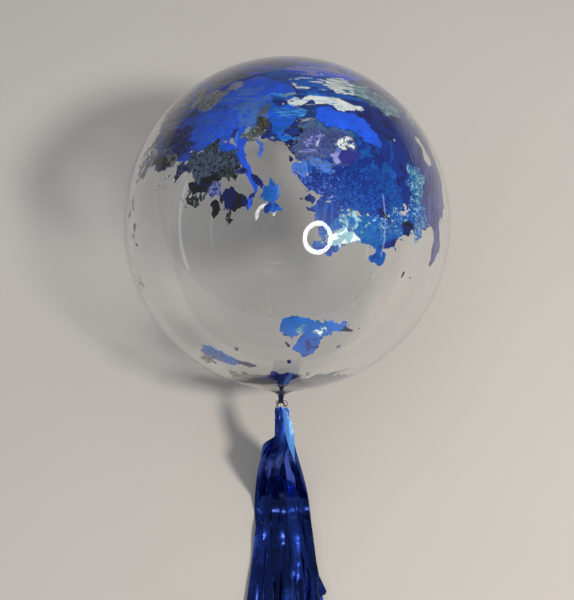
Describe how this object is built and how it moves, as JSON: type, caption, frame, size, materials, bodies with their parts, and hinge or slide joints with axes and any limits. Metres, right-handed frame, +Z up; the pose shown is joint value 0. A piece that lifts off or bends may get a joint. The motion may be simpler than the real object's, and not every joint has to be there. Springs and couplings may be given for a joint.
{
  "type": "clear bubble balloon",
  "caption": "Clear round bubble balloon with blue paint inside, its neck tied with ribbon, and a dark blue foil tassel as a tail, lying at rest.",
  "frame": {"origin": "middle of the flat spot that the bubble rests on", "axes": "+Z up from the floor; -Y towards the tassel, with the bubble's neck dipping that way; +X to the right when the tassel points at the viewer"},
  "size_m": [0.5597, 0.9352, 0.5593],
  "materials": {
    "clear_film": "clear stretched balloon film, glossy, see-through",
    "paint": "poured acrylic paint inside the film, ultramarine, cobalt and teal with white and charcoal",
    "ribbon": "dark navy curling ribbon, satin",
    "tassel_foil": "metallised navy foil strips, mirror-like sheen"
  },
  "bodies": {
    "root": {"bubble_film": "clear_film", "ribbon_tie": "ribbon", "foil_tassel": "tassel_foil"}
  },
  "joints": []
}
